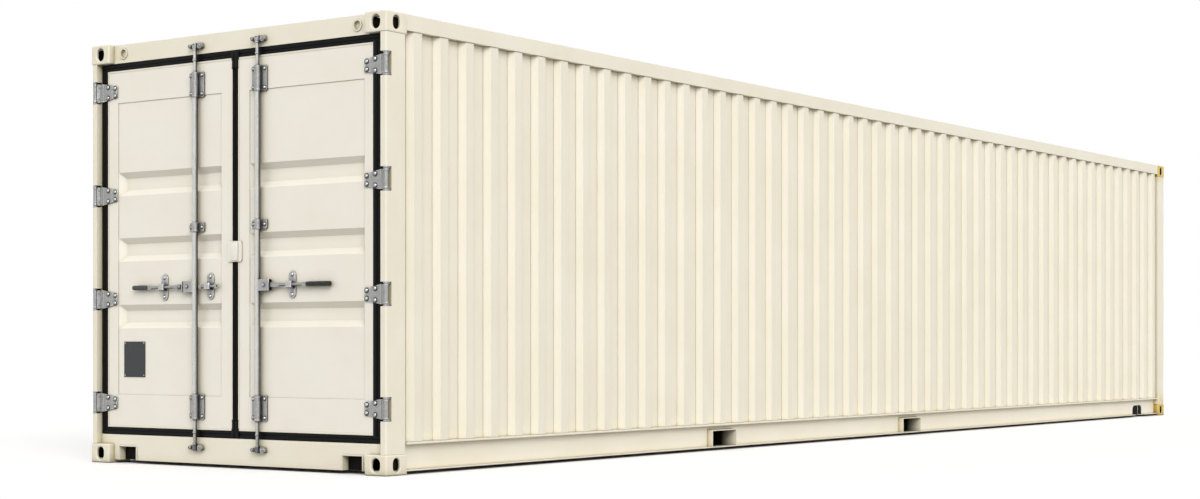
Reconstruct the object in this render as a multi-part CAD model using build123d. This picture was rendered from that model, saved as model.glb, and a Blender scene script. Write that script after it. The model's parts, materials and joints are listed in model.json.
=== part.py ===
"""Forty-foot steel freight container: welded frame, corrugated skin, plank floor and two hinged door leaves.

Millimetres. The origin is on the ground at the middle of the footprint, X runs across the width, Y along the
length with the doors at the low end, and Z is up. The right-hand leaf and the right side are at +X.
"""

import math
import os

from build123d import *

# Overall envelope, and the part of it that the lifting corners keep to themselves
LENGTH = 12192.0
WIDTH = 2438.0
HEIGHT = 2591.0
SET_BACK = 4.0  # skin, rails and posts lie this far inside the faces of the corner castings
BASE_LIFT = 20.0  # the bottom rails stay this far off the ground

# Corner castings
CASTING_X = 162.0
CASTING_Y = 178.0
CASTING_Z = 118.0
CASTING_EDGE_R = 8.0
CASTING_OUTER_WALL = 28.0
CASTING_SIDE_WALL = 16.0
CASTING_INNER_WALL = 12.0
LOCK_SLOT = (124.0, 63.5)
SLOT_FROM_SIDE = 89.5
SLOT_FROM_END = 103.5
END_EYE = (63.5, 79.5)
SIDE_EYE = (58.0, 79.5)

EYE_EDGE = 5.0  # slope round each eye's outer edge

# Corrugated skin
SHEET = 2.0
RIB_DEPTH = 36.0
RIB_CREST = 71.0
RIB_SLOPE = 32.0
SIDE_RIBS = 51
SIDE_RIB_START = 246.0  # from the door end to the first crest
END_RIBS = 9
END_RIB_START = 150.0
SKIN_INSET = 9.0  # from the casting face to the crests
SKIN_DEPTH = SKIN_INSET - SET_BACK + RIB_DEPTH + SHEET  # inner side of the valleys behind the posts' faces
ROOF_RIB_DEPTH = 20.0
ROOF_RIBS = 44
ROOF_RIB_START = 260.0
ROOF_DROP = 10.0  # roof crests below the casting tops

# Posts at the door end and at the closed end
POST_X = SKIN_DEPTH - SHEET / 2
POST_LAND = (6.0, 14.0)  # strip behind a door post that the side skin butts against: its thickness and depth
POST_Y = CASTING_Y - SET_BACK - POST_LAND[1]
POST_WALL = 6.0
POST_EDGE_R = 12.0
FAR_POST_X = 90.0
FAR_POST_RETURN = SKIN_DEPTH

# Door header and sill
SILL_TOP = 176.0
PORT_X = 968.0
PORT_R = 26.0
PORT_RIM = 7.0
PORT_DEPTH = 12.0
NOTCH_X = 930.0
NOTCH_W = 150.0
NOTCH_H = 84.0
NOTCH_DEPTH = 60.0
NOTCH_RIM = 6.0

# Long rails
TOP_RAIL_X = 60.0
TOP_RAIL_Z = 90.0
RAIL_WALL = 4.0
BOTTOM_RAIL_BEHIND = 3.0  # the web lies this far behind the inner side of the skin
BOTTOM_RAIL_X = SKIN_DEPTH + BOTTOM_RAIL_BEHIND
BOTTOM_RAIL_Z = 162.0
BOTTOM_LIP_TOP = 12.0
BOTTOM_LIP_LOW = 6.0
BOTTOM_LIP_SET = 4.0  # lower lip behind the upper one

# Underframe
CROSS_MEMBER_Z = 122.0
CROSS_MEMBER_FLANGE = 45.0
CROSS_MEMBER_WALL = 4.0
CROSS_MEMBER_PITCH = 305.0
FLOOR_THICK = 28.0
FLOOR_PANELS = 10
POCKET_W = 318.0
POCKET_WALL = 6.0
POCKET_FROM_DOORS = (3550.0, 6424.0)
ARCH_FROM_DOORS = 11540.0  # arched notch in each bottom side rail near the closed end
ARCH_W = 250.0
ARCH_H = 96.0

# Doors
DOOR_FACE = 44.0  # leaves, header and sill have their outer faces this far behind the casting faces
LEAF_THICK = 50.0
LEAF_GAP = 5.0
GASKET_SIDE_W = 56.0
GASKET_END_W = 42.0
GASKET_DROP = 1.0  # seal behind the leaf's face
GASKET_THICK = 46.0
GASKET_GROOVE = (7.0, 5.0)  # width and depth of the groove along the middle of the seal
MEETING_GASKET_W = 21.0
MEETING_GAP = 6.0
STILE_W = 92.0
RAIL_H = 200.0
LEAF_TUBE_WALL = 4.0
PANEL_RECESS = 4.0
TROUGH_Z = (0.319, 0.503, 0.690)  # heights of the trough middles, as shares of the leaf from its top
TROUGH_H = 150.0
TROUGH_DEPTH = 34.0
TROUGH_SLOPE = 36.0

# Hinges
HINGE_COUNT = 4
HINGE_TOP = 176.0  # middle of the top hinge below the castings
HINGE_LOW = 254.0  # middle of the lowest hinge above the castings
AXIS_INSET = 17.5  # hinge pin from the side and from the front of the castings
KNUCKLE_R = 13.0
KNUCKLE_H = 112.0
KNUCKLE_CLEAR = 6.0  # notch in the post behind the plane of the leaf's face
LUG_H = 12.0
LUG_W = 16.0
PIN_R = 7.0
PIN_CLEAR = 0.3
HINGE_GAP = 1.0
BLADE_THICK = 8.0
BLADE_REACH = 150.0
BLADE_TIP_H = 84.0
BLADE_TIP_R = 10.0
BLADE_NECK = 26.0  # from the pin to the foot of the crank
CRANK_INSET = 3.0  # the crank joins the knuckle this far inside its round
BLADE_RIBS = ((32.0, 39.0), (47.0, 54.0))  # pressed ribs across the blade, from the pin
BLADE_RIB_RISE = 3.5

# Lock rods and handles
ROD_R = 17.0
ROD_STAND_OFF = 22.0
ROD_FROM_MIDDLE = {"left": 318.0, "right": 203.0}
NECK_R = 11.0
NECK_RING_R = 14.5
NECK_RING_H = 7.0
CAM_FROM_LEAF = 46.0  # cam middles beyond the posts' top and, with SILL_CAM_DROP, below the sill's top
SILL_CAM_DROP = 60.0
CAM_H = 24.0
CAM_ARM = (34.0, 8.0)
CAM_ARM_TURN = 35.0
CAM_CAP_R = 16.0
CAM_CAP_H = 6.0
CAM_CAP_EDGE = 2.0
KEEPER_PLATE = (112.0, 46.0, 3.0)
KEEPER_BOSSES = ((-40.0, 13.0), (44.0, 18.0))  # place beside the rod and radius
KEEPER_BOSS_H = 28.0
HANDLE_Z = 1080.0
HUB_H = 66.0
HUB_REACH = 86.0
HUB_PLATE = 5.0
HUB_CLEAR = 0.5
PIVOT_FROM_ROD = 60.0
PIVOT_R = 7.0
PIVOT_HEAD = (11.0, 4.0)
HANDLE_BAR = (12.0, 26.0)
BAR_FLAT_END = 62.0  # flat part past the hub
BAR_ROUND_R = 9.0
BAR_TAPER = 22.0
GRIP_R = 14.0
GRIP_SPAN = {"left": (730.0, 858.0), "right": (596.0, 780.0)}
CATCH_X = {"left": 603.0, "right": 462.0}
SPARE_CATCH_X = 208.0
CATCH_H = 156.0
CATCH_W = 40.0
CATCH_THICK = 6.0
SEAT_W = 28.0
SEAT_H = 52.0
SEAT_CLEAR = 5.0
CLASP_R = 12.0
CLASP_W = 30.0
CLASP_STRAP = (62.0, 13.0, 5.0)
CLASP_STRAP_R = 5.0
CLASP_TURN = 42.0
SPARE_BAR = (76.0, 84.0)  # reach of the spare catch's bar to its eye and to its fork
BRACKET_H = 150.0
BRACKET_FROM_END = 62.0
BRACKET_REACH = (46.0, 62.0)
BRACKET_CORNER_R = 9.0
BRACKET_PAD = (30.0, 5.0)
GUIDE_Z = 1436.0
GUIDE_H = 56.0
CLAMP_WALL = 3.2
CLAMP_RING = (1.0, 9.0)

# Small plates on the leaves
BLANK_PLATE = (188.0, 218.0)
BLANK_PLATE_AT = (874.0, 642.0)
MEETING_PLATE = (113.0, 123.0)
MEETING_PLATE_Z = 1282.0
MEETING_PLATE_STAND = 6.0
MEETING_PLATE_R = 12.0
PLATE_THICK = 3.0

HEADER_DEPTH = CASTING_Y - DOOR_FACE
FRONT = -LENGTH / 2
BACK = LENGTH / 2
SIDE = WIDTH / 2
POST_LOW = CASTING_Z
POST_TOP = HEIGHT - CASTING_Z
OPENING_X = SIDE - SET_BACK - POST_X
DOOR_LOW = SILL_TOP + LEAF_GAP
DOOR_TOP = POST_TOP - LEAF_GAP
LEAF_OUT = OPENING_X - LEAF_GAP - GASKET_SIDE_W
LEAF_IN = MEETING_GAP / 2 + MEETING_GASKET_W
LEAF_LOW = DOOR_LOW + GASKET_END_W
LEAF_TOP = DOOR_TOP - GASKET_END_W
FACE_Y = FRONT + DOOR_FACE
ROD_Y = FACE_Y - ROD_STAND_OFF
CAM_Z = (SILL_TOP - SILL_CAM_DROP, POST_TOP + CAM_FROM_LEAF)
AXIS_X = SIDE - AXIS_INSET
AXIS_Y = FRONT + AXIS_INSET
RAIL_LOW = BASE_LIFT
RAIL_TOP = BASE_LIFT + BOTTOM_RAIL_Z
TOP_RAIL_LOW = HEIGHT - SET_BACK - TOP_RAIL_Z


def block(x0, x1, y0, y1, z0, z1):
    """A box between two corners, given in any order."""
    size = (abs(x1 - x0), abs(y1 - y0), abs(z1 - z0))
    return Pos((x0 + x1) / 2, (y0 + y1) / 2, (z0 + z1) / 2) * Box(*size)


def upright(points, z0, z1):
    """A plan outline of X, Y points carried from z0 up to z1."""
    face = make_face(Polyline(*points, close=True))
    return extrude(Plane.XY.offset(z0) * face, z1 - z0, dir=(0, 0, 1))


def lengthwise(points, y0, y1):
    """An outline of X, Z points carried from y0 to y1."""
    plane = Plane(origin=(0, y0, 0), x_dir=(1, 0, 0), z_dir=(0, -1, 0))
    return extrude(plane * make_face(Polyline(*points, close=True)), y1 - y0, dir=(0, 1, 0))


def crosswise(points, x0, x1):
    """An outline of Y, Z points carried from x0 to x1."""
    plane = Plane(origin=(x0, 0, 0), x_dir=(0, 1, 0), z_dir=(1, 0, 0))
    return extrude(plane * make_face(Polyline(*points, close=True)), x1 - x0, dir=(1, 0, 0))


def rod_z(x, y, z0, z1, radius):
    """A round bar standing on x, y from z0 to z1."""
    return Pos(x, y, (z0 + z1) / 2) * Cylinder(radius, z1 - z0)


def rod_y(x, z, y0, y1, radius):
    """A round bar through x, z from y0 to y1."""
    return Pos(x, (y0 + y1) / 2, z) * Rot(90, 0, 0) * Cylinder(radius, y1 - y0)


def rod_x_bar(x0, x1, radius):
    """A round bar along X at the height of the handles and in line with the lock rods."""
    return Pos((x0 + x1) / 2, ROD_Y, HANDLE_Z) * Rot(0, 90, 0) * Cylinder(radius, x1 - x0)


def fronted(sketch, x, z, y0, y1):
    """A sketch drawn as seen from in front of the doors, carried from y0 to y1."""
    plane = Plane(origin=(x, y1, z), x_dir=(1, 0, 0), z_dir=(0, -1, 0))
    return extrude(plane * sketch, y1 - y0, dir=(0, -1, 0))


def flipped(shape):
    """The mirror image on the other side of the middle plane."""
    return mirror(shape, about=Plane.YZ)


def turned(shape):
    """The mirror image at the other end."""
    return mirror(shape, about=Plane.XZ)


def eye(plane, size, wall):
    """An upright slot through a wall, its outer edge sloped, drawn on a plane that looks out of the wall."""
    long, wide = size
    cut = extrude(plane * SlotOverall(long, wide), wall + EYE_EDGE, both=True)
    mouth = plane * SlotOverall(long + 2 * EYE_EDGE, wide + 2 * EYE_EDGE)
    return cut + extrude(mouth, -EYE_EDGE, taper=45)


def corner_casting(top):
    """The hollow casting at +X and the closed end, with an eye in each outer face."""
    z0 = HEIGHT - CASTING_Z if top else 0
    middle = (SIDE - CASTING_X / 2, BACK - CASTING_Y / 2, z0 + CASTING_Z / 2)
    body = Pos(*middle) * Box(CASTING_X, CASTING_Y, CASTING_Z)
    body = fillet(body.edges(), CASTING_EDGE_R)
    outer_wall, inner_wall = CASTING_OUTER_WALL, CASTING_INNER_WALL
    low_wall, high_wall = (inner_wall, outer_wall) if top else (outer_wall, inner_wall)
    body -= block(
        SIDE - CASTING_X + CASTING_INNER_WALL,
        SIDE - CASTING_SIDE_WALL,
        BACK - CASTING_Y + CASTING_INNER_WALL,
        BACK - CASTING_SIDE_WALL,
        z0 + low_wall,
        z0 + CASTING_Z - high_wall,
    )
    face_z = HEIGHT if top else 0
    at = (SIDE - SLOT_FROM_SIDE, BACK - SLOT_FROM_END, face_z)
    lock = Plane(origin=at, x_dir=(0, 1, 0), z_dir=(0, 0, 1 if top else -1))
    end = Plane(origin=(middle[0], BACK, middle[2]), x_dir=(0, 0, 1), z_dir=(0, 1, 0))
    side = Plane(origin=(SIDE, middle[1], middle[2]), x_dir=(0, 0, 1), z_dir=(1, 0, 0))
    body -= eye(lock, LOCK_SLOT, CASTING_OUTER_WALL)
    body -= eye(end, END_EYE[::-1], CASTING_SIDE_WALL)
    return body - eye(side, SIDE_EYE[::-1], CASTING_SIDE_WALL)


def castings_at_closed_end():
    pair = [corner_casting(False), corner_casting(True)]
    return pair + [flipped(one) for one in pair]


def rib_outline(start, end, first, count, crest_at, depth, crest, slope):
    """One face of a trapezoidal sheet: crests at crest_at, valleys a depth towards lower values."""
    pitch = (end - start - 2 * first - crest) / (count - 1)
    points = [(start, crest_at - depth)]
    for rib in range(count):
        at = start + first + rib * pitch
        points += [
            (at - slope, crest_at - depth),
            (at, crest_at),
            (at + crest, crest_at),
            (at + crest + slope, crest_at - depth),
        ]
    return points + [(end, crest_at - depth)]


def corrugated(start, end, first, count, crest_at, depth, crest, slope):
    """The closed outline of a corrugated sheet, its thickness laid on the valley side."""
    outer = rib_outline(start, end, first, count, crest_at, depth, crest, slope)
    lean = SHEET * (math.hypot(slope, depth) - slope) / depth
    inner = [outer[0]]
    for n, (along, across) in enumerate(outer[1:-1]):
        inner.append((along + (lean if n % 4 < 2 else -lean), across))
    inner.append(outer[-1])
    return outer + [(along, across - SHEET) for along, across in reversed(inner)]


def side_wall():
    """The right-hand skin between the posts, standing on the bottom rail's lip."""
    y0 = FRONT + CASTING_Y
    y1 = BACK - CASTING_Y
    first = SIDE_RIB_START - CASTING_Y
    outline = corrugated(y0, y1, first, SIDE_RIBS, SIDE - SKIN_INSET, RIB_DEPTH, RIB_CREST, RIB_SLOPE)
    return upright([(x, y) for y, x in outline], RAIL_TOP, TOP_RAIL_LOW)


def end_wall():
    """The skin of the closed end between its posts."""
    half = SIDE - SET_BACK - FAR_POST_X
    first = END_RIB_START
    outline = corrugated(-half, half, first, END_RIBS, BACK - SKIN_INSET, RIB_DEPTH, RIB_CREST, RIB_SLOPE)
    return upright(outline, RAIL_TOP, POST_TOP)


def roof():
    """The ribbed roof between the top rails, its ribs running across."""
    y0 = FRONT + CASTING_Y
    y1 = BACK - CASTING_Y
    crest_at = HEIGHT - ROOF_DROP
    outline = corrugated(y0, y1, ROOF_RIB_START, ROOF_RIBS, crest_at, ROOF_RIB_DEPTH, RIB_CREST, RIB_SLOPE)
    half = SIDE - SET_BACK - TOP_RAIL_X
    return crosswise(outline, -half, half)


def hinge_heights():
    """The middles of the hinges, evenly spaced between the top and the lowest one."""
    low = POST_LOW + HINGE_LOW
    step = (POST_TOP - HINGE_TOP - low) / (HINGE_COUNT - 1)
    return [low + n * step for n in range(HINGE_COUNT)]


def door_post():
    """The right-hand door post: a hollow pressed section with a closed notch at each hinge."""
    x1 = SIDE - SET_BACK
    x0 = x1 - POST_X
    y0 = FRONT + SET_BACK
    y1 = y0 + POST_Y
    post = block(x0, x1, y0, y1, POST_LOW, POST_TOP)
    post = fillet(post.edges().filter_by(Axis.Z).sort_by(Axis.X)[-2:].sort_by(Axis.Y)[:1], POST_EDGE_R)
    wall = POST_WALL
    post -= block(x0 + wall, x1 - wall, y0 + wall, y1 - wall, POST_LOW, POST_TOP)
    notch_y = FACE_Y + KNUCKLE_CLEAR
    half = KNUCKLE_H / 2 + LUG_H
    for z in hinge_heights():
        post -= block(x0, x1, y0, notch_y, z - half, z + half)
        post += block(x0, x1, notch_y, notch_y + wall, z - half - wall, z + half + wall)
        for low in (z - half - wall, z + half):
            post += block(x0 + wall, x1 - wall, y0 + wall, notch_y, low, low + wall)
    return post + block(x0, x0 + POST_LAND[0], y1, FRONT + CASTING_Y, RAIL_TOP, POST_TOP)


def hinge_lugs():
    """The lugs that the right-hand post holds each hinge pin by, with the pin through them."""
    solids = []
    for z in hinge_heights():
        half = KNUCKLE_H / 2
        pin = rod_z(AXIS_X, AXIS_Y, z - half - LUG_H, z + half + LUG_H, PIN_R)
        for low in (z - half - LUG_H, z + half + HINGE_GAP):
            high = low + LUG_H - HINGE_GAP
            pin += rod_z(AXIS_X, AXIS_Y, low, high, KNUCKLE_R)
            pin += block(AXIS_X - LUG_W / 2, AXIS_X + LUG_W / 2, AXIS_Y, FACE_Y + KNUCKLE_CLEAR, low, high)
        solids.append(pin)
    return solids


def blade_plan():
    """A blade seen from above: from its barrel down the crank, over the pressed ribs and out to the tip."""
    front = FACE_Y - BLADE_THICK
    plan = [(AXIS_X - CRANK_INSET, AXIS_Y - KNUCKLE_R + CRANK_INSET), (AXIS_X - BLADE_NECK, front)]
    for near, far in BLADE_RIBS:
        slope = BLADE_RIB_RISE / 2
        plan += [
            (AXIS_X - near + slope, front),
            (AXIS_X - near, front - BLADE_RIB_RISE),
            (AXIS_X - far, front - BLADE_RIB_RISE),
            (AXIS_X - far - slope, front),
        ]
    tip = SIDE - BLADE_REACH
    foot = AXIS_X - BLADE_NECK + CRANK_INSET
    return plan + [(tip, front), (tip, FACE_Y), (foot, FACE_Y), (AXIS_X, AXIS_Y + CRANK_INSET)]


def hinge_blades():
    """The right-hand leaf's four cranked and tapered blades, each with its knuckle."""
    tip = SIDE - BLADE_REACH
    half = KNUCKLE_H / 2
    wide_at = AXIS_X - BLADE_RIBS[-1][1]
    side_view = [
        (tip, -BLADE_TIP_H / 2),
        (wide_at, -half),
        (SIDE, -half),
        (SIDE, half),
        (wide_at, half),
        (tip, BLADE_TIP_H / 2),
    ]
    outline = make_face(Polyline(*side_view, close=True))
    outline = fillet(outline.vertices().group_by(Axis.X)[0], BLADE_TIP_R)
    plan = blade_plan()
    solids = []
    for z in hinge_heights():
        blade = upright(plan, z - half, z + half)
        blade &= fronted(outline, 0, z, FRONT, FACE_Y)
        blade += rod_z(AXIS_X, AXIS_Y, z - half, z + half, KNUCKLE_R)
        blade -= rod_z(AXIS_X, AXIS_Y, z - half, z + half, PIN_R + PIN_CLEAR)
        solids.append(blade)
    return solids


def header():
    """The hollow beam over the doors, with a rimmed round port near each end."""
    x1 = SIDE - CASTING_X
    y0 = FRONT + DOOR_FACE
    y1 = y0 + HEADER_DEPTH
    beam = block(-x1, x1, y0, y1, POST_TOP, HEIGHT - SET_BACK)
    wall = RAIL_WALL
    beam -= block(-x1, x1, y0 + wall + PORT_DEPTH, y1 - wall, POST_TOP + wall, HEIGHT - SET_BACK - wall)
    z = (POST_TOP + HEIGHT - SET_BACK) / 2
    for x in (-PORT_X, PORT_X):
        beam += rod_y(x, z, y0 - PORT_RIM, y0 + PORT_RIM, PORT_R + PORT_RIM)
        beam -= rod_y(x, z, y0 - PORT_RIM, y0 + PORT_DEPTH, PORT_R)
    return beam


def sill():
    """The threshold beam under the doors, with a rimmed notch near each end."""
    inner = SIDE - CASTING_X
    outer = OPENING_X
    points = [
        (-inner, RAIL_LOW),
        (inner, RAIL_LOW),
        (inner, CASTING_Z),
        (outer, CASTING_Z),
        (outer, SILL_TOP),
        (-outer, SILL_TOP),
        (-outer, CASTING_Z),
        (-inner, CASTING_Z),
    ]
    y0 = FRONT + DOOR_FACE
    beam = lengthwise(points, y0, y0 + HEADER_DEPTH)
    beam -= block(-inner, inner, y0 + 2 * RAIL_WALL, y0 + HEADER_DEPTH, RAIL_LOW, SILL_TOP - 2 * RAIL_WALL)
    for x in (-NOTCH_X, NOTCH_X):
        half = NOTCH_W / 2
        rim = NOTCH_RIM
        top = RAIL_LOW + NOTCH_H
        beam += block(x - half - rim, x + half + rim, y0 - rim, y0 + NOTCH_DEPTH, RAIL_LOW, top + rim)
        beam -= block(x - half, x + half, y0 - rim, y0 + NOTCH_DEPTH - rim, RAIL_LOW, top)
    return beam


def top_rail():
    """The right-hand top rail, a square tube from header casting to closed-end casting."""
    x1 = SIDE - SET_BACK
    x0 = x1 - TOP_RAIL_X
    z1 = TOP_RAIL_LOW + TOP_RAIL_Z
    y0 = FRONT + CASTING_Y
    wall = RAIL_WALL
    tube = block(x0, x1, y0, -y0, TOP_RAIL_LOW, z1)
    return tube - block(x0 + wall, x1 - wall, y0, -y0, TOP_RAIL_LOW + wall, z1 - wall)


def pocket_span(from_doors):
    middle = FRONT + from_doors
    return middle - POCKET_W / 2, middle + POCKET_W / 2


def bottom_rail():
    """The right-hand bottom rail, a channel open outwards, cut away where the fork pockets pass."""
    x1 = SIDE - SET_BACK
    x0 = x1 - BOTTOM_RAIL_X
    wall = RAIL_WALL
    outline = [
        (x0, RAIL_LOW),
        (x1 - BOTTOM_LIP_SET, RAIL_LOW),
        (x1 - BOTTOM_LIP_SET, RAIL_LOW + BOTTOM_LIP_LOW),
        (x0 + wall, RAIL_LOW + BOTTOM_LIP_LOW),
        (x0 + wall, RAIL_TOP - BOTTOM_LIP_TOP),
        (x1, RAIL_TOP - BOTTOM_LIP_TOP),
        (x1, RAIL_TOP),
        (x0, RAIL_TOP),
    ]
    y0 = FRONT + CASTING_Y
    rail = lengthwise(outline, y0, -y0)
    for from_doors in POCKET_FROM_DOORS:
        low, high = pocket_span(from_doors)
        rail -= block(x0, x1, low, high, RAIL_LOW, RAIL_LOW + CROSS_MEMBER_Z)
    arch = RectangleRounded(ARCH_W, 2 * ARCH_H, ARCH_H / 2)
    plane = Plane(origin=(x0, FRONT + ARCH_FROM_DOORS, RAIL_LOW), x_dir=(0, 1, 0), z_dir=(1, 0, 0))
    return rail - extrude(plane * arch, BOTTOM_RAIL_X)


def fork_pockets():
    """Two rectangular tubes right across the underframe, open at both sides."""
    half = SIDE - SET_BACK
    wall = POCKET_WALL
    solids = []
    for from_doors in POCKET_FROM_DOORS:
        low, high = pocket_span(from_doors)
        z1 = RAIL_LOW + CROSS_MEMBER_Z
        tube = block(-half, half, low, high, RAIL_LOW, z1)
        solids.append(tube - block(-half, half, low + wall, high - wall, RAIL_LOW + wall, z1 - wall))
    return solids


def cross_members():
    """Pressed channels under the floor from rail to rail, left out where a fork pocket takes their place."""
    half = SIDE - SET_BACK - BOTTOM_RAIL_X
    first = FRONT + CASTING_Y + CROSS_MEMBER_PITCH
    last = BACK - SET_BACK - POST_Y - CROSS_MEMBER_PITCH / 2
    count = round((last - first) / CROSS_MEMBER_PITCH)
    step = (last - first) / count
    z0 = RAIL_LOW
    z1 = z0 + CROSS_MEMBER_Z
    wall = CROSS_MEMBER_WALL
    flange = CROSS_MEMBER_FLANGE
    solids = []
    for n in range(count + 1):
        y = first + n * step
        spans = [pocket_span(at) for at in POCKET_FROM_DOORS]
        if any(low - flange < y < high for low, high in spans):
            continue
        outline = [
            (y, z0),
            (y + flange, z0),
            (y + flange, z0 + wall),
            (y + wall, z0 + wall),
            (y + wall, z1 - wall),
            (y + flange, z1 - wall),
            (y + flange, z1),
            (y, z1),
        ]
        solids.append(crosswise(outline, -half, half))
    return solids


def floor_panels():
    """The plywood floor in equal panels on the cross members."""
    half = SIDE - SET_BACK - BOTTOM_RAIL_X
    y0 = FRONT + CASTING_Y
    y1 = BACK - SET_BACK - BOTTOM_RAIL_X
    z0 = RAIL_LOW + CROSS_MEMBER_Z
    step = (y1 - y0) / FLOOR_PANELS
    starts = [y0 + n * step for n in range(FLOOR_PANELS)]
    return [block(-half, half, start, start + step, z0, z0 + FLOOR_THICK) for start in starts]


def far_post():
    """The right-hand post of the closed end, a pressed angle whose edges return to meet the two skins."""
    x1 = SIDE - SET_BACK
    x0 = x1 - FAR_POST_X
    y1 = BACK - SET_BACK
    y0 = BACK - CASTING_Y
    wall = POST_WALL
    back = FAR_POST_RETURN
    outline = [
        (x1, y0),
        (x1, y1),
        (x0, y1),
        (x0, y1 - back),
        (x0 + wall, y1 - back),
        (x0 + wall, y1 - wall),
        (x1 - wall, y1 - wall),
        (x1 - wall, y0 + wall),
        (x1 - back, y0 + wall),
        (x1 - back, y0),
    ]
    return upright(outline, POST_LOW, POST_TOP)


def far_top_rail():
    """The tube over the closed end, with a plate that carries on to the roof."""
    x1 = SIDE - CASTING_X
    y1 = BACK - SET_BACK
    y0 = y1 - TOP_RAIL_X
    z1 = HEIGHT - SET_BACK
    wall = RAIL_WALL
    tube = block(-x1, x1, y0, y1, POST_TOP, z1)
    tube -= block(-x1, x1, y0 + wall, y1 - wall, POST_TOP + wall, z1 - wall)
    plate_z = HEIGHT - ROOF_DROP - ROOF_RIB_DEPTH
    return tube + block(-x1, x1, BACK - CASTING_Y, y0, plate_z - wall, plate_z)


def far_bottom_rail():
    """The channel under the closed end."""
    x1 = SIDE - CASTING_X
    y1 = BACK - SET_BACK
    y0 = y1 - BOTTOM_RAIL_X
    wall = RAIL_WALL
    outline = [
        (y0, RAIL_LOW),
        (y1, RAIL_LOW),
        (y1, RAIL_LOW + BOTTOM_LIP_LOW),
        (y0 + wall, RAIL_LOW + BOTTOM_LIP_LOW),
        (y0 + wall, RAIL_TOP - BOTTOM_LIP_TOP),
        (y1, RAIL_TOP - BOTTOM_LIP_TOP),
        (y1, RAIL_TOP),
        (y0, RAIL_TOP),
    ]
    return crosswise(outline, -x1, x1)


def leaf_height(share):
    """The height of a point that lies a share of the leaf below its top."""
    return LEAF_TOP - share * (LEAF_TOP - LEAF_LOW)


def leaf_frame():
    """The right-hand leaf's welded frame: two hollow stiles and two hollow rails."""
    y0 = FACE_Y
    y1 = FACE_Y + LEAF_THICK
    wall = LEAF_TUBE_WALL
    frame = block(LEAF_IN, LEAF_OUT, y0, y1, LEAF_LOW, LEAF_TOP)
    window = (LEAF_IN + STILE_W, LEAF_OUT - STILE_W, LEAF_LOW + RAIL_H, LEAF_TOP - RAIL_H)
    frame -= block(window[0], window[1], y0, y1, window[2], window[3])
    for x0, x1 in ((LEAF_IN, window[0]), (window[1], LEAF_OUT)):
        frame -= block(x0 + wall, x1 - wall, y0 + wall, y1 - wall, LEAF_LOW + wall, LEAF_TOP - wall)
    for z0, z1 in ((LEAF_LOW, window[2]), (window[3], LEAF_TOP)):
        frame -= block(window[0] + wall, window[1] - wall, y0 + wall, y1 - wall, z0 + wall, z1 - wall)
    return frame


def leaf_panel():
    """The right-hand leaf's pressed sheet with three troughs whose ends slope as their sides do."""
    x0, x1 = LEAF_IN + STILE_W, LEAF_OUT - STILE_W
    z0, z1 = LEAF_LOW + RAIL_H, LEAF_TOP - RAIL_H
    y0 = FACE_Y + PANEL_RECESS
    sheet = block(x0, x1, y0, y0 + SHEET, z0, z1)
    width = x1 - x0
    lean = math.degrees(math.atan2(TROUGH_SLOPE, TROUGH_DEPTH))
    skin = SHEET * math.hypot(TROUGH_SLOPE, TROUGH_DEPTH) / TROUGH_DEPTH
    for share in TROUGH_Z:
        plane = Plane(origin=((x0 + x1) / 2, y0, leaf_height(share)), x_dir=(1, 0, 0), z_dir=(0, 1, 0))
        outside = plane * Rectangle(width, TROUGH_H)
        inside = plane * Rectangle(width - 2 * skin, TROUGH_H - 2 * skin)
        sheet += extrude(outside, TROUGH_DEPTH + SHEET, taper=lean)
        sheet -= extrude(inside, TROUGH_DEPTH, taper=lean)
    return sheet


def leaf_gasket():
    """The right-hand leaf's rubber seal: a grooved frame round the leaf, narrower at the meeting edge."""
    y0 = FACE_Y + GASKET_DROP
    y1 = y0 + GASKET_THICK
    x0, x1 = MEETING_GAP / 2, OPENING_X - LEAF_GAP
    seal = block(x0, x1, y0, y1, DOOR_LOW, DOOR_TOP)
    seal -= block(LEAF_IN, LEAF_OUT, y0, y1, LEAF_LOW, LEAF_TOP)
    wide, deep = GASKET_GROOVE
    places = ((x0 + LEAF_IN) / 2, (x1 + LEAF_OUT) / 2, (DOOR_LOW + LEAF_LOW) / 2, (DOOR_TOP + LEAF_TOP) / 2)
    outer = [place + sign * wide / 2 for place, sign in zip(places, (-1, 1, -1, 1))]
    inner = [place + sign * wide / 2 for place, sign in zip(places, (1, -1, 1, -1))]
    groove = block(outer[0], outer[1], y0, y0 + deep, outer[2], outer[3])
    return seal - (groove - block(inner[0], inner[1], y0, y0 + deep, inner[2], inner[3]))


def bracket_heights():
    low = LEAF_LOW + BRACKET_FROM_END + BRACKET_H / 2
    high = LEAF_TOP - BRACKET_FROM_END - BRACKET_H / 2
    return [(low, BRACKET_H), (GUIDE_Z, GUIDE_H), (high, BRACKET_H)]


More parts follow.
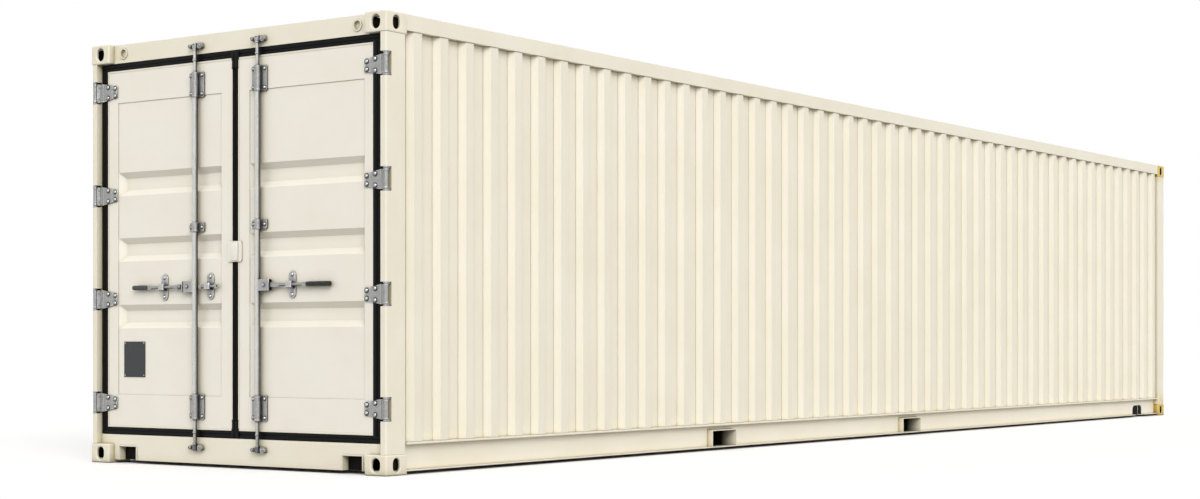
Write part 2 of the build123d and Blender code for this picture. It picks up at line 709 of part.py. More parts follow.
def rod_brackets(rod_x, wide_side):
    """The three clamps that hold a lock rod to its leaf, each a ringed band on a foot with a raised pad."""
    solids = []
    inner = ROD_R + PIN_CLEAR
    outer = inner + CLAMP_WALL
    rise, ring_h = CLAMP_RING
    narrow, wide = BRACKET_REACH
    pad_w, pad_thick = BRACKET_PAD
    for z, height in bracket_heights():
        corner_r = min(BRACKET_CORNER_R, height / 3)
        foot = RectangleRounded(narrow + wide, height, corner_r)
        clamp = fronted(foot, rod_x + wide_side * (wide - narrow) / 2, z, FACE_Y - CATCH_THICK, FACE_Y)
        pad = RectangleRounded(pad_w, height, corner_r)
        pad_x = rod_x + wide_side * (wide - pad_w / 2)
        clamp += fronted(pad, pad_x, z, FACE_Y - CATCH_THICK - pad_thick, FACE_Y)
        z0, z1 = z - height / 2 + rise, z + height / 2 - rise
        clamp += block(rod_x - outer, rod_x + outer, ROD_Y, FACE_Y, z0, z1)
        clamp += rod_z(rod_x, ROD_Y, z0, z1, outer)
        for low in (z0, z1 - ring_h):
            clamp += rod_z(rod_x, ROD_Y, low, low + ring_h, outer + rise)
        clamp -= rod_z(rod_x, ROD_Y, z - height / 2, z + height / 2, inner)
        solids.append(clamp)
    return solids


def turned_end(bracket_z, cam_z):
    """Radii and heights of a rod's turned end, from its bracket to the cap beyond the cam."""
    way = 1 if cam_z > bracket_z else -1
    cam_near = cam_z - way * CAM_H / 2
    cam_far = cam_z + way * CAM_H / 2
    half_way = (bracket_z + cam_near) / 2
    points = [(ROD_R, bracket_z), (NECK_R, bracket_z + way * NECK_RING_H)]
    for ring in (half_way, cam_near - way * NECK_RING_H):
        points += [
            (NECK_R, ring - way * NECK_RING_H),
            (NECK_RING_R, ring - way * NECK_RING_H / 2),
            (NECK_RING_R, ring + way * NECK_RING_H / 2),
            (NECK_R, ring + way * NECK_RING_H),
        ]
    cap = cam_far + way * CAM_CAP_H
    return points + [
        (NECK_R, cam_far),
        (CAM_CAP_R, cam_far),
        (CAM_CAP_R, cap - way * CAM_CAP_EDGE),
        (CAM_CAP_R - CAM_CAP_EDGE, cap),
        (0, cap),
    ]


def lock_rod(rod_x):
    """A lock rod turned from one bar, a cross-shaped cam on each end and the hub that carries the handle."""
    low_end = turned_end(LEAF_LOW + BRACKET_FROM_END, CAM_Z[0])
    high_end = turned_end(LEAF_TOP - BRACKET_FROM_END, CAM_Z[1])
    plane = Plane(origin=(rod_x, ROD_Y, 0), x_dir=(1, 0, 0), z_dir=(0, -1, 0))
    profile = make_face(plane * Polyline(*reversed(low_end), *high_end, close=True))
    rod = revolve(profile, Axis((rod_x, ROD_Y, 0), (0, 0, 1)))
    for z in CAM_Z:
        for turn in (CAM_ARM_TURN, -CAM_ARM_TURN):
            rod += Pos(rod_x, ROD_Y, z) * Rot(0, 0, turn) * Box(*CAM_ARM, CAM_H)
    half = HUB_H / 2
    reach = rod_x + ROD_R + HUB_REACH
    inside = HANDLE_BAR[0] / 2 + HUB_CLEAR
    for low_y in (ROD_Y - inside - HUB_PLATE, ROD_Y + inside):
        rod += block(rod_x, reach, low_y, low_y + HUB_PLATE, HANDLE_Z - half, HANDLE_Z + half)
    pivot_x = rod_x + PIVOT_FROM_ROD
    front = ROD_Y - inside - HUB_PLATE
    rod += rod_y(pivot_x, HANDLE_Z, front, ROD_Y + inside + HUB_PLATE, PIVOT_R)
    return rod + rod_y(pivot_x, HANDLE_Z, front - PIVOT_HEAD[1], front + HUB_PLATE, PIVOT_HEAD[0])


def flat_to_round(x0, x1):
    """The forged part of a handle between its flat section at x0 and its round one at x1."""
    way = 1 if x1 > x0 else -1
    flat = Plane(origin=(x0, ROD_Y, HANDLE_Z), x_dir=(0, 1, 0), z_dir=(way, 0, 0)) * Rectangle(*HANDLE_BAR)
    round_end = Plane(origin=(x1, ROD_Y, HANDLE_Z), x_dir=(0, 1, 0), z_dir=(way, 0, 0)) * Circle(BAR_ROUND_R)
    return loft([flat, round_end])


def handle(side):
    """A handle forged from one bar: flat and bored at the pivot, round at the clasp, flat by the grip."""
    pivot_x = ROD_FROM_MIDDLE[side] + PIVOT_FROM_ROD
    flat_end = ROD_FROM_MIDDLE[side] + ROD_R + HUB_REACH + BAR_FLAT_END
    grip_x = GRIP_SPAN[side][0]
    thick, tall = HANDLE_BAR
    y0, y1 = ROD_Y - thick / 2, ROD_Y + thick / 2
    bar = block(pivot_x, flat_end, y0, y1, HANDLE_Z - tall / 2, HANDLE_Z + tall / 2)
    bar += rod_y(pivot_x, HANDLE_Z, y0, y1, tall / 2)
    bar -= rod_y(pivot_x, HANDLE_Z, y0, y1, PIVOT_R + PIN_CLEAR)
    bar += flat_to_round(flat_end, flat_end + BAR_TAPER)
    bar += rod_x_bar(flat_end + BAR_TAPER, grip_x - 2 * BAR_TAPER, BAR_ROUND_R)
    bar += flat_to_round(grip_x - BAR_TAPER, grip_x - 2 * BAR_TAPER)
    bar += block(grip_x - BAR_TAPER, grip_x, y0, y1, HANDLE_Z - tall / 2, HANDLE_Z + tall / 2)
    clasp_x = CATCH_X[side]
    bar += rod_x_bar(clasp_x - CLASP_W / 2, clasp_x + CLASP_W / 2, CLASP_R)
    turn = CLASP_TURN if side == "right" else -CLASP_TURN
    strap_long, strap_wide, strap_thick = CLASP_STRAP
    strap = Rot(0, 0, turn) * RectangleRounded(strap_long, strap_wide, CLASP_STRAP_R)
    strap_y = ROD_Y - CLASP_R - strap_thick / 2
    return bar + fronted(strap, clasp_x, HANDLE_Z, strap_y, strap_y + strap_thick)


def handle_grip(side):
    """The rubber sleeve on the end of a handle."""
    start, end = GRIP_SPAN[side]
    grip = rod_x_bar(start, end, GRIP_R)
    return fillet(grip.edges().filter_by(GeomType.CIRCLE), GRIP_R / 3)


def catch_plate(x):
    """An oval plate on the leaf with a seat behind the bar and a ledge under it."""
    face = FACE_Y + PANEL_RECESS
    oval = Rot(0, 0, 90) * SlotOverall(CATCH_H, CATCH_W)
    plate = fronted(oval, x, HANDLE_Z, face - CATCH_THICK, face)
    seat_y = ROD_Y + CLASP_R + SEAT_CLEAR
    plate += fronted(RectangleRounded(SEAT_W, SEAT_H, SEAT_W / 4), x, HANDLE_Z, seat_y, face)
    ledge_z = HANDLE_Z - CLASP_R - SEAT_CLEAR
    return plate + block(x - SEAT_W / 2, x + SEAT_W / 2, ROD_Y, face, ledge_z - CATCH_THICK, ledge_z)


def spare_catch():
    """The second catch of the left-hand leaf and its short bar with an eye and a fork, drawn at +X."""
    x = SPARE_CATCH_X
    eye_x, fork_x = x + SPARE_BAR[0], x - SPARE_BAR[1]
    thick, tall = HANDLE_BAR
    y0, y1 = ROD_Y - thick / 2, ROD_Y + thick / 2
    bar = rod_x_bar(fork_x + tall, eye_x - thick, BAR_ROUND_R)
    bar += rod_y(eye_x - tall / 2, HANDLE_Z, y0, y1, tall / 2)
    bar -= rod_y(eye_x - tall / 2, HANDLE_Z, y0, y1, PIVOT_R)
    bar += block(fork_x, fork_x + tall, y0, y1, HANDLE_Z - tall / 2, HANDLE_Z + tall / 2)
    bar -= block(fork_x, fork_x + tall / 2, y0, y1, HANDLE_Z - PIVOT_R, HANDLE_Z + PIVOT_R)
    bar += rod_x_bar(x - CLASP_W / 2, x + CLASP_W / 2, CLASP_R)
    half = SEAT_W / 2
    stem = block(x - half, x + half, ROD_Y, FACE_Y, HANDLE_Z - tall / 2, HANDLE_Z + tall / 2)
    return bar + stem + catch_plate(x)


def catches(side):
    """The catches of a leaf, drawn for the right."""
    plates = [catch_plate(CATCH_X[side])]
    return plates + [spare_catch()] if side == "left" else plates


def blank_plate():
    """The bare plate near the foot of the left-hand leaf, drawn at +X."""
    x, z = BLANK_PLATE_AT
    wide, tall = BLANK_PLATE
    y = FACE_Y + PANEL_RECESS
    return block(x - wide / 2, x + wide / 2, y - PLATE_THICK, y, z - tall / 2, z + tall / 2)


def meeting_plate():
    """The plate on the right-hand leaf that laps the meeting edges."""
    wide, tall = MEETING_PLATE
    y = FACE_Y - MEETING_PLATE_STAND
    plate = fronted(RectangleRounded(wide, tall, MEETING_PLATE_R), 0, MEETING_PLATE_Z, y - PLATE_THICK, y)
    plate = chamfer(plate.faces().sort_by(Axis.Y)[0].edges(), PLATE_THICK / 2)
    z0, z1 = MEETING_PLATE_Z - tall / 2, MEETING_PLATE_Z + tall / 2
    return plate + block(LEAF_IN, wide / 2, y, FACE_Y, z0 + MEETING_PLATE_R, z1 - MEETING_PLATE_R)


def keepers(side, sign):
    """The brackets on header and sill that a rod's cams turn between: a plate with two round bosses."""
    x = sign * ROD_FROM_MIDDLE[side]
    wide, tall, thick = KEEPER_PLATE
    solids = []
    for z in CAM_Z:
        keeper = fronted(SlotOverall(wide, tall), x, z, FACE_Y - thick, FACE_Y)
        for shift, radius in KEEPER_BOSSES:
            keeper += rod_y(x + shift, z, FACE_Y - thick - KEEPER_BOSS_H, FACE_Y, radius)
        solids.append(keeper)
    return solids


def save(name, shape):
    solids = shape if isinstance(shape, list) else [shape]
    export_step(Compound(children=[one for s in solids for one in s.solids()]), f"parts/{name}.step")


def placed(shape, side):
    """A right-hand shape, or a list of them, on the named side."""
    shapes = shape if isinstance(shape, list) else [shape]
    return shapes if side == "right" else [flipped(one) for one in shapes]


def main():
    os.makedirs("parts", exist_ok=True)
    far = castings_at_closed_end()
    save("far_end_castings", far)
    save("door_end_castings", [turned(one) for one in far])
    save("door_header", header())
    save("door_sill", sill())
    save("far_end_top_rail", far_top_rail())
    save("far_end_bottom_rail", far_bottom_rail())
    save("far_end_wall", end_wall())
    save("roof_panel", roof())
    save("floor_panels", floor_panels())
    save("cross_members", cross_members())
    save("fork_pockets", fork_pockets())
    save("rod_keepers", keepers("left", -1) + keepers("right", 1))
    save("left_blank_plate", flipped(blank_plate()))
    save("right_meeting_plate", meeting_plate())
    for side in ("left", "right"):
        rod_x = ROD_FROM_MIDDLE[side]
        pieces = {
            "door_post": door_post(),
            "hinge_lugs": hinge_lugs(),
            "far_end_post": far_post(),
            "top_side_rail": top_rail(),
            "bottom_side_rail": bottom_rail(),
            "side_wall": side_wall(),
            "door_frame": leaf_frame(),
            "door_panel": leaf_panel(),
            "door_gasket": leaf_gasket(),
            "hinge_blades": hinge_blades(),
            "rod_brackets": rod_brackets(rod_x, 1 if side == "right" else -1),
            "handle_catches": catches(side),
            "lock_rod": lock_rod(rod_x),
            "door_handle": handle(side),
            "handle_grip": handle_grip(side),
        }
        for name, shape in pieces.items():
            save(f"{side}_{name}", placed(shape, side))


main()
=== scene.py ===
import json
import math

import bpy
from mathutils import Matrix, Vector


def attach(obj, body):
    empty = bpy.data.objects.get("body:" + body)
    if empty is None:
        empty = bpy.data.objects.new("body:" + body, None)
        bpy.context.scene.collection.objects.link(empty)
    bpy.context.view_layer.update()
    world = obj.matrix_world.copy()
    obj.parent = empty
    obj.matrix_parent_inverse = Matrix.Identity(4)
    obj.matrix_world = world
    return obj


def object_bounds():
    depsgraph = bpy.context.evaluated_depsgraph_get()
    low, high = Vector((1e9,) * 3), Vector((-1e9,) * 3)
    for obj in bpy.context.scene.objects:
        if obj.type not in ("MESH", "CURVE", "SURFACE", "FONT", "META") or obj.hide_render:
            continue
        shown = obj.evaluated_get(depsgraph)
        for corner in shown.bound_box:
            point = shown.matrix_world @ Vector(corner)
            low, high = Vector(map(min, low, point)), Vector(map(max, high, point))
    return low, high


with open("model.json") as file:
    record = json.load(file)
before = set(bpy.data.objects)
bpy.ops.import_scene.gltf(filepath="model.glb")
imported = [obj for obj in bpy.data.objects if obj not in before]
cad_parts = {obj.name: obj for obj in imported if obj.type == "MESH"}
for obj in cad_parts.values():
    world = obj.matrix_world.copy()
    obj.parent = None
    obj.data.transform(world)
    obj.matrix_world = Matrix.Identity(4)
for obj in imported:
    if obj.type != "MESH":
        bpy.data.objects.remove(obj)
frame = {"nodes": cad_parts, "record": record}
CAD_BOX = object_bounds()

NODES = frame["nodes"]
SIGN = {"left": -1, "right": 1}

# Sizes in metres that the frame gives: the box, the hinge pins, the lock rods and the handles
JOINT_AT = {joint["name"]: joint["pos_m"] for joint in frame["record"]["behaviour"]["joints"]}
SIDE, BACK, HEIGHT = [round(edge, 4) for edge in CAD_BOX[1]]
FRONT = -BACK
HINGE_PIN = JOINT_AT["right_door_swing"][:2]
ROD_X = {side: JOINT_AT[f"{side}_rod_turn"][0] for side in SIGN}
ROD_Y, HANDLE_HEIGHT = JOINT_AT["right_rod_turn"][1:]

# Sizes in metres that the steel has besides
LEAF_FACE = FRONT + 0.044
LOW_HINGE = 0.372
HIGH_HINGE = 2.297
HINGE_HEIGHTS = [LOW_HINGE + step * (HIGH_HINGE - LOW_HINGE) / 3 for step in range(4)]
BLADE_FACE = LEAF_FACE - 0.008
BRACKET_HEIGHTS = (0.360, 2.289)
BRACKET_FOOT_FACE = LEAF_FACE - 0.011
GUIDE_HEIGHT = 1.436
CAM_HEIGHTS = (0.116, 2.519)
KEEPER_FACE = LEAF_FACE - 0.031
CATCH_X = {"left": (-0.603, -0.208), "right": (0.462,)}
ROD_RADIUS = 0.0175
ROD_CLEAR = 0.0178
HUB_FRONT = ROD_Y - 0.0115
LEAF_MIDDLE = 1.3245
FORK_POCKETS = (3.550, 6.424)
ARCH_Y = FRONT + 11.540

# Hollows whose inner faces are painted nearly black as shade: low and high corners, measured from the
# middle planes
CASTING_HOLLOW = ((1.068, 5.929, 1.1885), (1.195, 6.070, 1.2685))
FAR_CASTING_HOLLOW = ((1.068, 5.929, 1.1885), (1.2142, 6.0912, 1.2685))
POCKET_MOUTH = 1.205
POCKET_HOLLOW = ((-0.010, -0.010, 0.0255), (POCKET_MOUTH, 0.1535, 0.1365))
POCKETS_MIDDLE = FRONT + (FORK_POCKETS[0] + FORK_POCKETS[1]) / 2
POCKETS_APART = (FORK_POCKETS[1] - FORK_POCKETS[0]) / 2

# Colours that lie over a finish in places; those named shade are painted shade
HOLLOW_SHADE = "15130D"
SEAM_SHADE = "7D7350"
YELLOW_MIST = "D9B94E"
FORGED_GREY = "ADADAC"
DOWNWARD_SHADE = "26241F"
PLATE_CREAM = "E4DBC2"
CREASE_SHADE = "020202"


def srgb(code):
    """A linear colour from a six-digit sRGB hex code."""
    values = [int(code[i:i + 2], 16) / 255 for i in (0, 2, 4)]
    linear = [v / 12.92 if v <= 0.04045 else ((v + 0.055) / 1.055) ** 2.4 for v in values]
    return (*linear, 1.0)


def per_metre(size):
    """A texture's scale from the size of its pattern in millimetres."""
    return 1000 / size


# Materials

def material(name):
    """A new material, its node tree and its shader."""
    made = bpy.data.materials.new(name)
    made.use_nodes = True
    return made, made.node_tree, made.node_tree.nodes["Principled BSDF"]


def node(tree, kind, feeds=None, **settings):
    """Adds a node with its settings, each input fed by a value or by another node's output.

    Inputs go by name or by number. A Mix takes its share at 0 and its colours at 6 and 7, and gives the
    mixed colour at 2. A Map Range takes its value at 0, the range it comes from at 1 and 2 and the range
    it goes to at 3 and 4.
    """
    made = tree.nodes.new("ShaderNode" + kind)
    for name, value in settings.items():
        setattr(made, name, value)
    for key, value in (feeds or {}).items():
        if isinstance(value, bpy.types.NodeSocket):
            tree.links.new(value, made.inputs[key])
        else:
            made.inputs[key].default_value = value
    return made


def depth_in_box(tree, place, low, high):
    """How far inside a box a point lies, negative outside it."""
    past = node(tree, "VectorMath", {0: place, 1: low}, operation="SUBTRACT").outputs[0]
    left = node(tree, "VectorMath", {0: high, 1: place}, operation="SUBTRACT").outputs[0]
    least = node(tree, "VectorMath", {0: past, 1: left}, operation="MINIMUM").outputs[0]
    axes = node(tree, "SeparateXYZ", {"Vector": least}).outputs
    pair = node(tree, "Math", {0: axes["X"], 1: axes["Y"]}, operation="MINIMUM").outputs[0]
    return node(tree, "Math", {0: pair, 1: axes["Z"]}, operation="MINIMUM").outputs[0]


def mirrored(tree, place, centre):
    """Places measured from a centre, the same on every side of it."""
    centred = node(tree, "VectorMath", {0: place, 1: centre}, operation="SUBTRACT").outputs[0]
    return node(tree, "VectorMath", {0: centred}, operation="ABSOLUTE").outputs[0]


def edge_line(tree, width, open_air):
    """A rounded normal for the edges, and how near an outer edge lies, as the share of a painted
    highlight.
    """
    rounded = node(tree, "Bevel", {"Radius": width}, samples=4).outputs["Normal"]
    flat = node(tree, "NewGeometry").outputs["True Normal"]
    match = node(tree, "VectorMath", {0: rounded, 1: flat}, operation="DOT_PRODUCT").outputs["Value"]
    near = node(tree, "MapRange", {0: match, 1: 0.995, 2: 0.95}).outputs[0]
    return rounded, node(tree, "Math", {0: near, 1: open_air}, operation="MULTIPLY").outputs[0]


def inside_castings(tree, place, colour, hollow=CASTING_HOLLOW):
    """Painted shade, nearly black, in the hollow behind the eyes, alike in all eight castings."""
    reach = mirrored(tree, place, (0, 0, HEIGHT / 2))
    depth = depth_in_box(tree, reach, *hollow)
    inside = node(tree, "MapRange", {0: depth, 1: 0.0, 2: 0.0006}).outputs[0]
    return node(tree, "Mix", {0: inside, 6: colour, 7: srgb(HOLLOW_SHADE)}, data_type="RGBA").outputs[2]


def inside_far_castings(tree, place, colour):
    """The same at the closed end, where the painted shade reaches the walls of the eyes too."""
    return inside_castings(tree, place, colour, FAR_CASTING_HOLLOW)


def inside_pockets(tree, place, colour):
    """Painted shade, nearly black, along the run of the fork pockets, deepening behind their mouths."""
    along = mirrored(tree, place, (0, POCKETS_MIDDLE, 0))
    reach = mirrored(tree, along, (0, POCKETS_APART, 0))
    depth = depth_in_box(tree, reach, *POCKET_HOLLOW)
    inside = node(tree, "MapRange", {0: depth, 1: 0.0, 2: 0.0003}).outputs[0]
    across = node(tree, "SeparateXYZ", {"Vector": reach}).outputs["X"]
    faded = node(tree, "MapRange", {0: across, 1: POCKET_MOUTH, 2: POCKET_MOUTH - 0.115}).outputs[0]
    share = node(tree, "Math", {0: inside, 1: faded}, operation="MULTIPLY").outputs[0]
    return node(tree, "Mix", {0: share, 6: colour, 7: srgb(HOLLOW_SHADE)}, data_type="RGBA").outputs[2]


def yellow_overspray(tree, place, colour):
    """The mist that the yellow of the far castings left on the ends of the posts between them."""
    height = node(tree, "SeparateXYZ", {"Vector": place}).outputs["Z"]
    low = node(tree, "MapRange", {0: height, 1: 0.12, 2: 0.26, 3: 0.75, 4: 0.0}).outputs[0]
    high = node(tree, "MapRange", {0: height, 1: 2.40, 2: 2.47, 3: 0.0, 4: 0.45}).outputs[0]
    both = node(tree, "Math", {0: low, 1: high}, operation="MAXIMUM").outputs[0]
    cloud = node(tree, "TexNoise", {"Vector": place, "Scale": per_metre(45.45), "Detail": 3.0})
    patchy = node(tree, "MapRange", {0: cloud.outputs["Fac"], 1: 0.35, 2: 0.6}).outputs[0]
    share = node(tree, "Math", {0: both, 1: patchy}, operation="MULTIPLY").outputs[0]
    return node(tree, "Mix", {0: share, 6: colour, 7: srgb(YELLOW_MIST)}, data_type="RGBA").outputs[2]


def sprayed_paint(name, tones, peel=4.0, relief=0.06, edge=0.004, reach=0.07, edge_highlight=(0.45, 0.75),
                  dressing=None):
    """Two-pack polyurethane, sprayed on primed steel.

    To the eye: an even semi-gloss skin with a slow drift of tone and a fine orange peel, with painted
    shade, duller and browner, in the creases and where parts meet, and a painted highlight along the outer
    edges. The peel and its relief are in millimetres, and drawn about twice as coarse as real ones so that
    they show.
    """
    pale, deep, crease, edge_highlight_tone = [srgb(tone) for tone in tones]
    made, tree, shader = material(name)
    place = node(tree, "TexCoord").outputs["Object"]
    patches = {"Vector": place, "Scale": per_metre(455), "Detail": 4.0, "Roughness": 0.6}
    drift = node(tree, "TexNoise", patches).outputs["Fac"]
    share = node(tree, "MapRange", {0: drift, 1: 0.35, 2: 0.65}).outputs[0]
    colour = node(tree, "Mix", {0: share, 6: deep, 7: pale}, data_type="RGBA").outputs[2]

    # Painted shade in the creases, and a painted highlight along the outer edges that lie open
    near = node(tree, "AmbientOcclusion", {"Distance": reach}, samples=4).outputs["AO"]
    open_air = node(tree, "MapRange", {0: near, 1: edge_highlight[0], 2: edge_highlight[1]}).outputs[0]
    rounded, line = edge_line(tree, edge, open_air)
    colour = node(tree, "Mix", {0: line, 6: colour, 7: edge_highlight_tone}, data_type="RGBA").outputs[2]
    share = node(tree, "MapRange", {0: near, 1: 0.2, 2: 0.85}).outputs[0]
    colour = node(tree, "Mix", {0: share, 6: crease, 7: colour}, data_type="RGBA").outputs[2]

    # Painted shade, dark olive, where parts meet
    seam = node(tree, "AmbientOcclusion", {"Distance": 0.012}, samples=4).outputs["AO"]
    share = node(tree, "MapRange", {0: seam, 1: 0.35, 2: 0.85, 3: 0.6, 4: 0.0}).outputs[0]
    colour = node(tree, "Mix", {0: share, 6: colour, 7: srgb(SEAM_SHADE)}, data_type="RGBA").outputs[2]
    if dressing:
        colour = dressing(tree, place, colour)
    tree.links.new(colour, shader.inputs["Base Color"])

    dull = node(tree, "MapRange", {0: drift, 1: 0.3, 2: 0.7, 3: 0.50, 4: 0.38}).outputs[0]
    tree.links.new(dull, shader.inputs["Roughness"])
    skin = node(tree, "TexNoise", {"Vector": place, "Scale": per_metre(peel), "Detail": 2.0})
    skin = skin.outputs["Fac"]
    depth = relief / 1000
    bump = node(tree, "Bump", {"Height": skin, "Distance": depth, "Strength": 0.5, "Normal": rounded})
    tree.links.new(bump.outputs["Normal"], shader.inputs["Normal"])
    return made


# Tones of a paint: pale, deep, painted shade in creases, painted highlight on edges
CREAM_TONES = ("F1EAD8", "EDE5D0", "B7AB86", "FFFCF2")
SKIN_TONES = ("F1EAD8", "EEE6D2", "C8BD9B", "FBF7E9")
LEAF_TONES = ("F3EEE1", "F0EADB", "B3A88A", "FFFDF6")
CAST_TONES = ("EFE7D2", "E9E0C8", "8E8258", "FFFCF0")
YELLOW_TONES = ("E2C25A", "CFAC3C", "6E5620", "F8EAB0")

# Sprayed on rolled steel: smooth and creamy, the posts and rails
CREAM = sprayed_paint("polyurethane_cream_sprayed", CREAM_TONES)
# Sprayed on ribbed sheet: a soft painted highlight along the bends, and only light painted shade in the
# creases
CREAM_SKIN = sprayed_paint("polyurethane_cream_on_skin", SKIN_TONES, edge=0.009, reach=0.035,
                           edge_highlight=(0.85, 0.97))
# Sprayed on the door leaves: a little whiter than the frame
CREAM_LEAF = sprayed_paint("polyurethane_cream_on_leaves", LEAF_TONES)
# Sprayed on cast steel: the sand's grain shows through, and the hollow is painted nearly black as shade
CREAM_CAST = sprayed_paint("polyurethane_cream_on_casting", CAST_TONES, 9.0, 0.35, 0.008,
                           dressing=inside_castings)
# Sprayed into the fork pockets from outside: cream at the mouth, with painted shade nearly black further
# in
CREAM_POCKET = sprayed_paint("polyurethane_cream_on_pockets", CREAM_TONES, dressing=inside_pockets)
# Sprayed on the far posts, then dusted with yellow at both ends
CREAM_MIST = sprayed_paint("polyurethane_cream_with_mist", CREAM_TONES, dressing=yellow_overspray)
# Yellow sprayed on cast steel: warm and grainy, with painted shade brown in its creases and nearly black
# in the hollow
YELLOW_CAST = sprayed_paint("polyurethane_yellow_on_casting", YELLOW_TONES, 9.0, 0.35, 0.010,
                            dressing=inside_far_castings)


def forged_beside_rods(tree, place, colour):
    """The cams and hubs, which are forged and greyer than the turned rods that they are welded to."""
    across = node(tree, "SeparateXYZ", {"Vector": place}).outputs["X"]
    on_rod = 0.0
    for rod_x in ROD_X.values():
        near = node(tree, "Math", {0: across, 1: rod_x, 2: ROD_RADIUS}, operation="COMPARE").outputs[0]
        on_rod = node(tree, "Math", {0: on_rod, 1: near}, operation="MAXIMUM").outputs[0]
    return node(tree, "Mix", {0: on_rod, 6: srgb(FORGED_GREY), 7: colour}, data_type="RGBA").outputs[2]


def hot_dip_zinc(name, tones, cell, rough, stretch=(1, 1, 1), shade=(0.03, 0.2, 0.92, "191815"),
                 dressing=None, on_painted_plate=False):
    """Hot-dip galvanised steel.

    To the eye: a satin neutral grey with faint crystal patches, a painted highlight on the edges, and
    painted shade, nearly black, where parts meet or face the ground. The patches' size is in millimetres.
    The shade is the painted shade in creases: how far it reaches in metres, the openness at which it is
    deepest and gone, and its colour.
    """
    pale, deep, edge_highlight = [srgb(tone) for tone in tones]
    crease_reach, crease_deep, crease_gone, crease = shade
    made, tree, shader = material(name)
    place = node(tree, "TexCoord").outputs["Object"]
    spot = node(tree, "Mapping", {"Vector": place, "Scale": stretch}).outputs[0]
    spangle = node(tree, "TexVoronoi", {"Vector": spot, "Scale": per_metre(cell)}).outputs["Color"]
    tone = node(tree, "SeparateColor", {"Color": spangle}).outputs["Red"]
    cloud = node(tree, "TexNoise", {"Vector": spot, "Scale": per_metre(16.667), "Detail": 4.0})
    cloud = cloud.outputs["Fac"]
    mixed = node(tree, "Math", {0: tone, 1: cloud}, operation="MULTIPLY").outputs[0]
    colour = node(tree, "Mix", {0: mixed, 6: deep, 7: pale}, data_type="RGBA").outputs[2]
    if dressing:
        colour = dressing(tree, place, colour)

    # Painted highlight on the open edges, and painted shade on faces that look down and in the creases
    near = node(tree, "AmbientOcclusion", {"Distance": crease_reach}, samples=4).outputs["AO"]
    open_air = node(tree, "MapRange", {0: near, 1: 0.4, 2: 0.8}).outputs[0]
    rounded, line = edge_line(tree, 0.0025, open_air)
    colour = node(tree, "Mix", {0: line, 6: colour, 7: edge_highlight}, data_type="RGBA").outputs[2]
    facing = node(tree, "NewGeometry").outputs["Normal"]
    up = node(tree, "SeparateXYZ", {"Vector": facing}).outputs["Z"]
    share = node(tree, "MapRange", {0: up, 1: -0.15, 2: -0.8, 3: 0.0, 4: 0.85}).outputs[0]
    colour = node(tree, "Mix", {0: share, 6: colour, 7: srgb(DOWNWARD_SHADE)}, data_type="RGBA").outputs[2]
    share = node(tree, "MapRange", {0: near, 1: crease_deep, 2: crease_gone}).outputs[0]
    colour = node(tree, "Mix", {0: share, 6: srgb(crease), 7: colour}, data_type="RGBA").outputs[2]

    if on_painted_plate:
        depth = node(tree, "SeparateXYZ", {"Vector": place}).outputs["Y"]
        plate = node(tree, "MapRange", {0: depth, 1: LEAF_FACE - 0.0032, 2: LEAF_FACE - 0.0028}).outputs[0]
        cream = srgb(PLATE_CREAM)
        colour = node(tree, "Mix", {0: plate, 6: colour, 7: cream}, data_type="RGBA").outputs[2]
        metal = node(tree, "MapRange", {0: plate, 1: 0.0, 2: 1.0, 3: 0.9, 4: 0.0}).outputs[0]
        tree.links.new(metal, shader.inputs["Metallic"])
    else:
        shader.inputs["Metallic"].default_value = 0.9
    tree.links.new(colour, shader.inputs["Base Color"])

    dull = node(tree, "MapRange", {0: cloud, 1: 0.3, 2: 0.7, 3: rough - 0.05, 4: rough + 0.07}).outputs[0]
    tree.links.new(dull, shader.inputs["Roughness"])
    bump = node(tree, "Bump", {"Height": cloud, "Distance": 0.0002, "Strength": 0.4, "Normal": rounded})
    tree.links.new(bump.outputs["Normal"], shader.inputs["Normal"])
    return made


# Tones of zinc: pale, deep, painted highlight on edges
FORGED_TONES = ("BDBDBC", "989897", "F6F6F4")
TURNED_TONES = ("DAD9D6", "CDCCC8", "EDECE9")
HIGHLIT_TONES = ("D0D0CE", "B0B0AE", "FAFAF8")
SHADED_TONES = ("5A5A58", "444442", "8A8A88")
THREAD_TONES = ("7C7C7A", "5E5E5C", "C8C8C6")

# Forged and dipped: mid grey with crystal patches, the hinges, brackets and handles
ZINC = hot_dip_zinc("galvanised_steel_forged", FORGED_TONES, 7.0, 0.34)
# Forged keepers, whose back plates are painted with the sill and header
ZINC_KEEPER = hot_dip_zinc("galvanised_steel_on_painted_plate", FORGED_TONES, 7.0, 0.34,
                           on_painted_plate=True)
# Turned rods: pale and smooth, streaked along their length, with painted shade darker towards the leaf
# behind them
ZINC_TUBE = hot_dip_zinc("galvanised_steel_turned", TURNED_TONES, 6.0, 0.28, (1, 1, 0.12),
                         (0.30, 0.60, 0.99, "373632"), forged_beside_rods)
# Heads in a paler copy of the zinc: painted highlight
ZINC_HIGHLIT = hot_dip_zinc("galvanised_steel_painted_highlight", HIGHLIT_TONES, 7.0, 0.26)
# Washers in a dark dull copy of the zinc: painted shade that rings each bright head
ZINC_SHADED = hot_dip_zinc("galvanised_steel_painted_shade", SHADED_TONES, 5.0, 0.45)
# Thread: a darker copy of the zinc as painted shade, darkest between its turns, with a painted highlight
# on their crests
ZINC_THREAD = hot_dip_zinc("galvanised_steel_threaded", THREAD_TONES, 5.0, 0.40)


